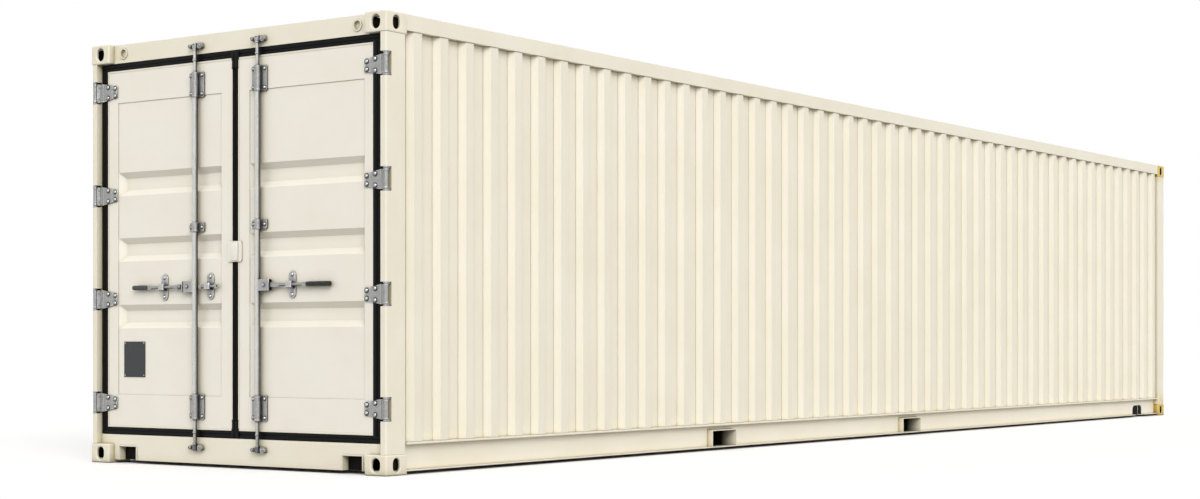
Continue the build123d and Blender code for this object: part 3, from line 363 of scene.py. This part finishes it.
def dark_skin(name, pale, deep, rough, sheen):
    """A dark skin with a slight bloom all over, a fine grain and painted shade, black, in the creases."""
    made, tree, shader = material(name)
    place = node(tree, "TexCoord").outputs["Object"]
    bloom = node(tree, "TexNoise", {"Vector": place, "Scale": per_metre(33.33), "Detail": 4.0})
    bloom = bloom.outputs["Fac"]
    colour = node(tree, "Mix", {0: bloom, 6: srgb(deep), 7: srgb(pale)}, data_type="RGBA").outputs[2]
    # Painted shade, black, in the creases
    near = node(tree, "AmbientOcclusion", {"Distance": 0.02}, samples=4).outputs["AO"]
    share = node(tree, "MapRange", {0: near, 1: 0.3, 2: 0.9}).outputs[0]
    colour = node(tree, "Mix", {0: share, 6: srgb(CREASE_SHADE), 7: colour}, data_type="RGBA").outputs[2]
    tree.links.new(colour, shader.inputs["Base Color"])
    dull = node(tree, "MapRange", {0: bloom, 1: 0.3, 2: 0.7, 3: rough - 0.05, 4: rough + 0.05}).outputs[0]
    tree.links.new(dull, shader.inputs["Roughness"])
    shader.inputs["Specular IOR Level"].default_value = sheen
    edge = node(tree, "Bevel", {"Radius": 0.006}, samples=4).outputs["Normal"]
    fine = node(tree, "TexNoise", {"Vector": place, "Scale": per_metre(2)}).outputs["Fac"]
    bump = node(tree, "Bump", {"Height": fine, "Distance": 0.0002, "Strength": 0.4, "Normal": edge})
    tree.links.new(bump.outputs["Normal"], shader.inputs["Normal"])
    return made


# EPDM rubber, extruded: near black with one soft highlight along its length
SEAL = dark_skin("epdm_rubber_extruded", "0E0E0E", "060606", 0.34, 0.12)
# Vinyl, dipped over the left handle: slate grey with a dull sheen
GRIP_GREY = dark_skin("vinyl_grip_dipped_grey", "4C4E50", "3B3D40", 0.45, 0.4)
# Vinyl, dipped over the right handle: black, shinier with use
GRIP_BLACK = dark_skin("vinyl_grip_dipped_black", "1D1D1F", "121214", 0.38, 0.4)
# Aluminium, anodised dark: a flat even grey
PLATE = dark_skin("aluminium_plate_anodised_dark", "424345", "38393B", 0.5, 0.3)
# Dead black sheets put in hollows and notches: painted shade
SHADE_BLACK = dark_skin("matt_black_painted_shade", "12110E", "0A0907", 0.7, 0.1)


def oiled_plywood(name):
    """Hardwood plywood, oiled.

    To the eye: brown face grain that runs along the hold, worn paler where goods slide. The grain is
    drawn 14 mm wide, coarser than a real one, so that it shows.
    """
    made, tree, shader = material(name)
    place = node(tree, "TexCoord").outputs["Object"]
    along = node(tree, "Mapping", {"Vector": place, "Scale": (1, 0.06, 1)}).outputs[0]
    streaks = {"Vector": along, "Scale": per_metre(14.29), "Detail": 6.0, "Roughness": 0.65}
    grain = node(tree, "TexNoise", streaks).outputs["Fac"]
    share = node(tree, "MapRange", {0: grain, 1: 0.3, 2: 0.7}).outputs[0]
    wood = node(tree, "Mix", {0: share, 6: srgb("6B4A30"), 7: srgb("A67C52")}, data_type="RGBA").outputs[2]
    wear = node(tree, "TexNoise", {"Vector": place, "Scale": per_metre(625), "Detail": 5.0}).outputs["Fac"]
    share = node(tree, "MapRange", {0: wear, 1: 0.45, 2: 0.7, 3: 0.0, 4: 0.6}).outputs[0]
    colour = node(tree, "Mix", {0: share, 6: wood, 7: srgb("B89A74")}, data_type="RGBA").outputs[2]
    tree.links.new(colour, shader.inputs["Base Color"])
    shader.inputs["Roughness"].default_value = 0.62
    bump = node(tree, "Bump", {"Height": grain, "Distance": 0.0006, "Strength": 0.5})
    tree.links.new(bump.outputs["Normal"], shader.inputs["Normal"])
    return made


FLOOR_PLY = oiled_plywood("hardwood_plywood_oiled")

# Finish of each CAD node: by its slot in the record, or its own
FINISHES = {"cream_paint": CREAM, "yellow_paint": YELLOW_CAST, "galvanised_steel": ZINC,
            "seal_rubber": SEAL, "grey_plate": PLATE, "plywood": FLOOR_PLY}
SPECIAL = {"door_end_castings": CREAM_CAST, "fork_pockets": CREAM_POCKET, "rod_keepers": ZINC_KEEPER,
           "right_meeting_plate": CREAM_LEAF, "far_end_wall": CREAM_SKIN, "roof_panel": CREAM_SKIN,
           "left_handle_grip": GRIP_GREY, "right_handle_grip": GRIP_BLACK}
for side in SIGN:
    SPECIAL[f"{side}_door_frame"] = CREAM_LEAF
    SPECIAL[f"{side}_door_panel"] = CREAM_LEAF
    SPECIAL[f"{side}_side_wall"] = CREAM_SKIN
    SPECIAL[f"{side}_bottom_side_rail"] = CREAM_SKIN
    SPECIAL[f"{side}_far_end_post"] = CREAM_MIST
    SPECIAL[f"{side}_lock_rod"] = ZINC_TUBE
SLOTS = {part["node"]: part["material_slot"] for part in frame["record"]["subparts"]}
for name, piece in NODES.items():
    piece.data.materials.clear()
    piece.data.materials.append(SPECIAL.get(name) or FINISHES[SLOTS[name]])


# Modelling

def alone(piece):
    """Selects one piece and nothing else, and makes it the active one."""
    bpy.ops.object.select_all(action="DESELECT")
    piece.select_set(True)
    bpy.context.view_layer.objects.active = piece


def pick(piece, wanted):
    """Selects the faces that are wanted and leaves the piece open in edit mode."""
    bpy.ops.object.mode_set(mode="EDIT")
    bpy.ops.mesh.select_mode(type="FACE")
    bpy.ops.mesh.select_all(action="DESELECT")
    bpy.ops.object.mode_set(mode="OBJECT")
    for face in piece.data.polygons:
        face.select = wanted(face)
    bpy.ops.object.mode_set(mode="EDIT")


def round_bar(radius, length, at, axis, corners=16):
    """A cylinder along Y or Z with its place in its mesh."""
    bpy.ops.object.select_all(action="DESELECT")
    turn = (math.radians(90), 0, 0) if axis == "Y" else (0, 0, 0)
    bpy.ops.mesh.primitive_cylinder_add(
        vertices=corners, radius=radius, depth=length, location=at, rotation=turn)
    bpy.ops.object.transform_apply(location=True, rotation=True, scale=True)
    return bpy.context.active_object


def bar(low, high):
    """A box between two corners with its place in its mesh."""
    bpy.ops.object.select_all(action="DESELECT")
    middle = [(a + b) / 2 for a, b in zip(low, high)]
    bpy.ops.mesh.primitive_cube_add(size=1, location=middle, scale=[abs(b - a) for a, b in zip(low, high)])
    bpy.ops.object.transform_apply(location=True, rotation=True, scale=True)
    return bpy.context.active_object


def softened(piece, width, segments=2):
    """Rounds the sharp edges of a piece."""
    alone(piece)
    bevel = piece.modifiers.new("bevel", "BEVEL")
    bevel.width = width
    bevel.segments = segments
    bevel.limit_method = "ANGLE"
    bpy.ops.object.modifier_apply(modifier=bevel.name)
    return piece


def soft_bar(low, high, width, segments=2):
    """A box between two corners with its edges rounded."""
    return softened(bar(low, high), width, segments)


def soft_pair(low, high, width):
    """A soft bar on the right of the middle plane and its mirror image on the left."""
    made = []
    for sign in SIGN.values():
        made.append(soft_bar((sign * low[0], *low[1:]), (sign * high[0], *high[1:]), width))
    return made


def joined(pieces):
    """Several pieces as one."""
    bpy.ops.object.select_all(action="DESELECT")
    for piece in pieces:
        piece.select_set(True)
    bpy.context.view_layer.objects.active = pieces[0]
    if len(pieces) > 1:
        bpy.ops.object.join()
    return pieces[0]


def copies(model, places, turn=(0, 0, 0)):
    """Copies of a model that was made at the origin, each turned alike and with its own mesh."""
    made = []
    for place in places:
        copy = model.copy()
        copy.data = model.data.copy()
        bpy.context.scene.collection.objects.link(copy)
        copy.location = place
        copy.rotation_euler = turn
        made.append(copy)
    whole = joined(made)
    bpy.ops.object.transform_apply(location=True, rotation=True, scale=True)
    return whole


def repeated(model, places, turn=(0, 0, 0)):
    """Copies of a model that isn't used again."""
    whole = copies(model, places, turn)
    bpy.data.objects.remove(model)
    return whole


def finished(piece, name, body, finish):
    """Names a piece, gives it its finish and puts it on its body."""
    alone(piece)
    piece.name = name
    piece.data.name = name
    piece.data.materials.clear()
    piece.data.materials.append(finish)
    bpy.ops.object.shade_smooth_by_angle(angle=math.radians(35))
    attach(piece, body)
    return piece


def paired(places, rise):
    """Each place twice, that far below it and above it."""
    return [(x, y, z + way * rise) for x, y, z in places for way in (-1, 1)]


def faces_front(face):
    """Whether a face looks the way the doors do."""
    return face.normal.y < -0.9


def stepped(head, wanted, inset, move):
    """Insets the faces that are wanted and moves them along Y."""
    pick(head, wanted)
    bpy.ops.mesh.inset(thickness=inset)
    bpy.ops.transform.translate(value=(0, move, 0))
    bpy.ops.object.mode_set(mode="OBJECT")


def dome_head(radius, rise):
    """A round bolt head seen from in front of the doors, its back at the origin."""
    base = rise * 0.4
    head = round_bar(radius, base, (0, -base / 2, 0), "Y")
    for inset, move in ((0.2, 0.3), (0.25, 0.2), (0.25, 0.1)):
        stepped(head, faces_front, radius * inset, -rise * move)
    return head


def socket_head(radius, rise):
    """A round head with a recessed socket, its back at the origin."""
    head = round_bar(radius, rise, (0, -rise / 2, 0), "Y")
    smallest = 3 * (radius * 0.3) ** 2
    for inset, move in ((0.15, -0.3), (0.3, 0.0), (0.02, 0.9)):
        stepped(head, lambda face: faces_front(face) and face.area > smallest, radius * inset, rise * move)
    return head


def washer(radius, thick):
    """A flat washer with a raised rim, its back at the origin."""
    ring = round_bar(radius, thick, (0, -thick / 2, 0), "Y", 20)
    stepped(ring, faces_front, radius * 0.12, thick * 0.3)
    return ring


# Fasteners, each modelled once: radius and rise, or radius and thickness
BOLT = dome_head(0.0115, 0.0090)
LOBE_BOLT = dome_head(0.0095, 0.0085)
WASHER = washer(0.0165, 0.0016)
LOBE_WASHER = washer(0.0135, 0.0016)
COACH_BOLT = dome_head(0.0115, 0.0100)
PIVOT_HEAD = dome_head(0.0095, 0.0055)
RIVET = dome_head(0.0060, 0.0045)
SCREW = socket_head(0.0095, 0.004)
PIN_CAP = dome_head(0.0160, 0.0110)

# Turns for a model that was made facing the front or standing
UP = (math.radians(-90), 0, 0)
DOWN = (math.radians(90), 0, 0)
ALONG_X = (0, math.radians(90), 0)

# Bolts of a hinge blade: how far in from the side, and how far above and below the blade's middle
BLADE_BOLTS = ((0.1780, 0.023), (0.1140, 0.033))


def blade_fasteners(side, sign):
    """Bolts with washers on the hinge blades, and rivets near the pins."""
    bolts = []
    for z in HINGE_HEIGHTS:
        for reach, rise in BLADE_BOLTS:
            bolts += paired([(sign * (SIDE - reach), BLADE_FACE, z)], rise)
    rivets = paired([(sign * (SIDE - 0.037), FRONT + 0.030, z) for z in HINGE_HEIGHTS], 0.036)
    door = f"{side}_door"
    finished(copies(BOLT, bolts), f"{side}_hinge_bolts", door, ZINC_HIGHLIT)
    finished(copies(WASHER, bolts), f"{side}_hinge_washers", door, ZINC_SHADED)
    finished(copies(RIVET, rivets), f"{side}_hinge_rivets", door, ZINC)


def blade_tips(side, sign):
    """Tips that lengthen the hinge blades and narrow towards the middle of the leaf."""
    root = SIDE - 0.140
    end = SIDE - 0.197
    half = 0.043
    tip = bar((sign * root, BLADE_FACE + 0.0002, -half), (sign * end, LEAF_FACE, half))
    pick(tip, lambda face: face.normal.x * sign < -0.9)
    bpy.ops.transform.resize(value=(1, 1, 0.80), center_override=(0, 0, 0))
    bpy.ops.object.mode_set(mode="OBJECT")
    tips = repeated(softened(tip, 0.0025), [(0, 0, z) for z in HINGE_HEIGHTS])
    finished(tips, f"{side}_hinge_blade_tips", f"{side}_door", ZINC)


def pin_ends(side, sign):
    """Collars on the hinge pins, which turn with the leaf, and caps, which stay with the frame."""
    pin = (sign * HINGE_PIN[0], HINGE_PIN[1])
    collar = softened(round_bar(0.0150, 0.010, (0, 0, 0), "Z", 20), 0.0022)
    collars = repeated(collar, paired([(*pin, z) for z in HINGE_HEIGHTS], 0.050))
    finished(collars, f"{side}_hinge_collars", f"{side}_door", ZINC)
    tops = [(*pin, z + 0.061) for z in HINGE_HEIGHTS]
    feet = [(*pin, z - 0.061) for z in HINGE_HEIGHTS]
    caps = joined([copies(PIN_CAP, tops, UP), copies(PIN_CAP, feet, DOWN)])
    finished(caps, f"{side}_hinge_pin_caps", "frame", ZINC)


def rod_brackets(side):
    """Lobes on one side of the lock rod's brackets and guide, with the bolts of both sides."""
    door = f"{side}_door"
    rod_x = ROD_X[side]
    outer = rod_x - 0.048
    inner = rod_x - ROD_CLEAR
    lobe_face = ROD_Y - 0.001
    lobes = []
    for z, half in [(z, 0.071) for z in BRACKET_HEIGHTS] + [(GUIDE_HEIGHT, 0.026)]:
        lobes.append(soft_bar((outer, lobe_face, z - half), (inner, LEAF_FACE, z + half), 0.006, 3))
    finished(joined(lobes), f"{side}_bracket_lobes", door, ZINC)

    on_lobe = ((outer + inner) / 2 - 0.001, lobe_face)
    on_foot = (rod_x + 0.047, BRACKET_FOOT_FACE)
    bolts = paired([(*on_lobe, z) for z in BRACKET_HEIGHTS], 0.054)
    bolts += paired([(*on_foot, z) for z in BRACKET_HEIGHTS], 0.056)
    bolts += [(*on_lobe, GUIDE_HEIGHT), (*on_foot, GUIDE_HEIGHT)]
    finished(copies(LOBE_BOLT, bolts), f"{side}_bracket_bolts", door, ZINC_HIGHLIT)
    finished(copies(LOBE_WASHER, bolts), f"{side}_bracket_washers", door, ZINC_SHADED)


def catches(side):
    """Oval backs, bolts and clasp domes of the handle catches; a spare dome stays on the left leaf."""
    door = f"{side}_door"
    bolts = paired([(x, LEAF_FACE - 0.002, HANDLE_HEIGHT) for x in CATCH_X[side]], 0.058)
    finished(copies(COACH_BOLT, bolts), f"{side}_catch_bolts", door, ZINC_HIGHLIT)

    oval = round_bar(0.028, 0.0055, (0, LEAF_FACE - 0.00075, 0), "Y", 26)
    for way in (-1, 1):
        pick(oval, lambda face: face.normal.z * way > 0.1)
        bpy.ops.transform.translate(value=(0, 0, way * 0.051))
        bpy.ops.object.mode_set(mode="OBJECT")
    ovals = repeated(softened(oval, 0.0012), [(x, 0, HANDLE_HEIGHT) for x in CATCH_X[side]])
    finished(ovals, f"{side}_catch_ovals", door, ZINC)

    dome = soft_bar((-0.023, ROD_Y - 0.0168, -0.021), (0.023, ROD_Y - 0.0012, 0.021), 0.007, 3)
    on_handle, *spare = CATCH_X[side]
    clasp = copies(dome, [(on_handle, 0, HANDLE_HEIGHT)])
    finished(clasp, f"{side}_clasp_dome", f"{side}_handle", ZINC_HIGHLIT)
    if spare:
        clasp = copies(dome, [(x, 0, HANDLE_HEIGHT) for x in spare])
        finished(clasp, f"{side}_spare_clasp_dome", door, ZINC_HIGHLIT)
    bpy.data.objects.remove(dome)


def keeper_screws(side):
    """Socket screws that hold the keepers of the lock rod's cams to sill and header."""
    screws = [(ROD_X[side] + shift, KEEPER_FACE, z) for z in CAM_HEIGHTS for shift in (-0.040, 0.044)]
    finished(copies(SCREW, screws), f"{side}_keeper_screws", "frame", ZINC)


def hub_lip(side, sign):
    """The lip at the end of the rod's hub, and the head of the bolt that the handle lifts about."""
    end = ROD_X[side] + sign * 0.103
    low = (end - sign * 0.006, HUB_FRONT - 0.005, HANDLE_HEIGHT - 0.033)
    lip = soft_bar(low, (end, HUB_FRONT, HANDLE_HEIGHT + 0.033), 0.0015)
    head = copies(PIVOT_HEAD, [(ROD_X[side] + sign * 0.060, HUB_FRONT - 0.004, HANDLE_HEIGHT)])
    finished(joined([lip, head]), f"{side}_hub_lip", f"{side}_rod", ZINC)


# Steps of a seal cap at the foot of a leaf: from, to, and half its width; those at the top mirror them
SEAL_CAP_STEPS = ((0.182, 0.237, 0.031), (0.237, 0.287, 0.026), (0.279, 0.287, 0.029))


def seal_caps(side, sign):
    """Moulded caps that close the seal at the top and foot of the meeting edge."""
    caps = []
    for low, high, half in SEAL_CAP_STEPS:
        for foot, top in ((2 * LEAF_MIDDLE - high, 2 * LEAF_MIDDLE - low), (low, high)):
            near = (sign * 0.001, LEAF_FACE - 0.005, foot)
            caps.append(soft_bar(near, (sign * half, LEAF_FACE + 0.004, top), 0.003))
    finished(joined(caps), f"{side}_seal_caps", f"{side}_door", SEAL)


def seal_strip(side, sign):
    """The painted strip round the leaf that holds the seal: a flat bar with its middle taken out."""
    strip = bar((sign * 0.024, LEAF_FACE - 0.0015, 0.223), (sign * 1.112, LEAF_FACE + 0.001, 2.426))
    pick(strip, lambda face: abs(face.normal.y) > 0.9)
    bpy.ops.mesh.inset(thickness=0.010, use_individual=True)
    bpy.ops.mesh.bridge_edge_loops()
    bpy.ops.object.mode_set(mode="OBJECT")
    finished(strip, f"{side}_seal_strip", f"{side}_door", CREAM)


for side, sign in SIGN.items():
    blade_fasteners(side, sign)
    blade_tips(side, sign)
    pin_ends(side, sign)
    rod_brackets(side)
    catches(side)
    keeper_screws(side)
    hub_lip(side, sign)
    seal_caps(side, sign)
    seal_strip(side, sign)

# Rivets at the corners of the blank plate
plate_rivets = paired([(x, LEAF_FACE + 0.001, 0.642) for x in (-0.958, -0.790)], 0.099)
finished(copies(RIVET, plate_rivets), "left_plate_rivets", "left_door", ZINC)

# Rings along the handle grips: where a grip starts and ends
GRIP_SPANS = {"left": (-0.858, -0.730, GRIP_GREY), "right": (0.596, 0.780, GRIP_BLACK)}
RING_STEP = 0.009
for side, (start, end, finish) in GRIP_SPANS.items():
    count = round((end - start - 0.03) / RING_STEP)
    ring = softened(round_bar(0.0148, 0.004, (0, 0, 0), "Z", 20), 0.001, 1)
    places = [(start + 0.016 + step * RING_STEP, ROD_Y, HANDLE_HEIGHT) for step in range(count)]
    rings = repeated(ring, places, ALONG_X)
    finished(rings, f"{side}_grip_rings", f"{side}_handle", finish)

# Threaded sleeve on the left handle: five turns on a core
turn = softened(round_bar(0.0150, 0.0042, (0, 0, 0), "Z", 24), 0.0012)
turns = repeated(turn, [(0, 0, -0.0065 * step) for step in range(5)])
core = softened(round_bar(0.0132, 0.0300, (0, 0, -0.0130), "Z", 24), 0.0010)
sleeve = repeated(joined([turns, core]), [(-0.434, ROD_Y, HANDLE_HEIGHT)], ALONG_X)
finished(sleeve, "left_handle_sleeve", "left_handle", ZINC_THREAD)

# Ridge on the plate that laps the meeting edges
PLATE_FRONT = LEAF_FACE - 0.009
ridge = soft_bar((-0.026, PLATE_FRONT - 0.005, 1.228), (0.030, PLATE_FRONT, 1.336), 0.0035, 3)
finished(ridge, "right_meeting_ridge", "right_door", CREAM_LEAF)

# Lip that widens the seal on the hinge side of the right leaf
seal_lip = soft_bar((1.084, LEAF_FACE - 0.0022, 0.215), (1.114, LEAF_FACE + 0.001, 2.434), 0.0008)
finished(seal_lip, "right_seal_lip", "right_door", SEAL)

# Dark plates just inside the side eyes of the castings: painted shade
shade_plates = []
for y0, y1 in ((-6.078, -5.932), (5.932, 6.078)):
    for z0 in (0.028, HEIGHT - 0.106):
        shade_plates += soft_pair((1.190, y0, z0), (1.196, y1, z0 + 0.078), 0.002)
finished(joined(shade_plates), "casting_shade_plates", "frame", SHADE_BLACK)

# Dark plates at the backs of the notches of the sill: painted shade
backs = soft_pair((0.857, FRONT + 0.088, 0.022), (1.003, FRONT + 0.094, 0.102), 0.001)
finished(joined(backs), "notch_shade_plates", "frame", SHADE_BLACK)

# Dark plates behind the arched notches of the bottom rails: painted shade
arch_shades = soft_pair((1.162, ARCH_Y - 0.140, 0.022), (1.167, ARCH_Y + 0.140, 0.140), 0.002)
finished(joined(arch_shades), "arch_shade_plates", "frame", SHADE_BLACK)

# Gussets that close the gap beside the end rail: an upright plate and a flat one above it
gussets = soft_pair((1.056, 6.040, 0.114), (1.128, 6.050, 0.186), 0.0015)
gussets += soft_pair((1.056, 6.046, 0.172), (1.128, 6.0915, 0.1845), 0.0015)
finished(joined(gussets), "far_sill_gussets", "frame", CREAM)

# Yellow plates beside the far castings of the roof
plates = soft_pair((0.86, BACK - 0.46, HEIGHT - 0.012), (1.158, BACK - 0.178, HEIGHT - 0.003), 0.002)
finished(joined(plates), "far_roof_plates", "frame", YELLOW_CAST)

for model in (BOLT, LOBE_BOLT, WASHER, LOBE_WASHER, COACH_BOLT, PIVOT_HEAD, RIVET, SCREW, PIN_CAP):
    bpy.data.objects.remove(model)


# Camera: level and low, to the right of the doors, its frame and lens in the photo's pixels
PHOTO_WIDTH = 1200
PHOTO_HEIGHT = 499
HORIZON_ROW = 345
LENS_PIXELS = 2036
SENSOR_WIDTH = 36
camera_data = bpy.data.cameras.new("camera")
camera = bpy.data.objects.new("camera", camera_data)
bpy.context.scene.collection.objects.link(camera)
bpy.context.scene.camera = camera
camera.location = (8.72, FRONT - 8.51, 0.73)
camera.rotation_euler = (math.radians(90), 0, math.radians(35.4))
camera_data.sensor_width = SENSOR_WIDTH
camera_data.lens = LENS_PIXELS / PHOTO_WIDTH * SENSOR_WIDTH
camera_data.shift_y = (HORIZON_ROW - PHOTO_HEIGHT / 2) / PHOTO_WIDTH
camera_data.clip_end = 200

# Light: a wide soft sun over the camera's shoulder, and a sky that is dimmer overhead, to spare the roof
SUN_STRENGTH = 1.6
SUN_SPREAD = 35
SUN_AIM = (-0.61, 0.58, -0.54)
SKY_LOW = 1.33
SKY_HIGH = 0.35
sun_data = bpy.data.lights.new("soft_sun", "SUN")
sun_data.energy = SUN_STRENGTH
sun_data.angle = math.radians(SUN_SPREAD)
sun = bpy.data.objects.new("soft_sun", sun_data)
bpy.context.scene.collection.objects.link(sun)
sun.rotation_euler = Vector(SUN_AIM).to_track_quat("-Z", "Y").to_euler()

world = bpy.data.worlds.new("daylight")
bpy.context.scene.world = world
world.use_nodes = True
sky = world.node_tree

# To the camera, and in reflections and glass, the sky is plain white
path = node(sky, "LightPath").outputs
seen = node(sky, "Math", {0: path["Is Camera Ray"], 1: path["Is Glossy Ray"]}, operation="ADD").outputs[0]
seen = node(sky, "Math", {0: seen, 1: path["Is Transmission Ray"]}, operation="ADD", use_clamp=True)
aim = node(sky, "TexCoord").outputs["Generated"]
climb = node(sky, "SeparateXYZ", {"Vector": aim}).outputs["Z"]
level = node(sky, "MapRange", {0: climb, 1: 0.0, 2: 1.0, 3: SKY_LOW, 4: SKY_HIGH}).outputs[0]
strength = node(sky, "MapRange", {0: seen.outputs[0], 1: 0.0, 2: 1.0, 3: level, 4: 1.0}).outputs[0]
sky.links.new(strength, sky.nodes["Background"].inputs["Strength"])
sky.nodes["Background"].inputs["Color"].default_value = (1, 1, 1, 1)

# Floor: matt white paint, pale to the camera and greyer to the light it throws back, with the shadow kept
FLOOR_SIZE = 160
FLOOR_SEEN = "E4E4E4"
FLOOR_TO_LIGHT = "9A9A9A"
FLOOR_LIFT = 0.28
bpy.ops.object.select_all(action="DESELECT")
bpy.ops.mesh.primitive_plane_add(size=FLOOR_SIZE, location=(0, 0, 0))
floor = bpy.context.active_object
floor.name = "floor"
floor_paint, tree, shader = material("floor_matt_white")
path = node(tree, "LightPath").outputs
rays = {0: path["Is Camera Ray"], 1: path["Is Glossy Ray"]}
seen = node(tree, "Math", rays, operation="ADD", use_clamp=True).outputs[0]
tones = {0: seen, 6: srgb(FLOOR_TO_LIGHT), 7: srgb(FLOOR_SEEN)}
tree.links.new(node(tree, "Mix", tones, data_type="RGBA").outputs[2], shader.inputs["Base Color"])
shader.inputs["Roughness"].default_value = 0.9
shader.inputs["Specular IOR Level"].default_value = 0.2
shader.inputs["Emission Color"].default_value = (1, 1, 1, 1)

# A painted glow lifts it towards white where it lies open, for the camera and reflections only
open_air = node(tree, "AmbientOcclusion", {"Distance": 0.6}, samples=8).outputs["AO"]
lift = node(tree, "MapRange", {0: open_air, 1: 0.1, 2: 0.6, 3: 0.0, 4: FLOOR_LIFT}).outputs[0]
lift = node(tree, "Math", {0: lift, 1: seen}, operation="MULTIPLY").outputs[0]
tree.links.new(lift, shader.inputs["Emission Strength"])
floor.data.materials.append(floor_paint)
bpy.context.scene.view_settings.view_transform = "Standard"
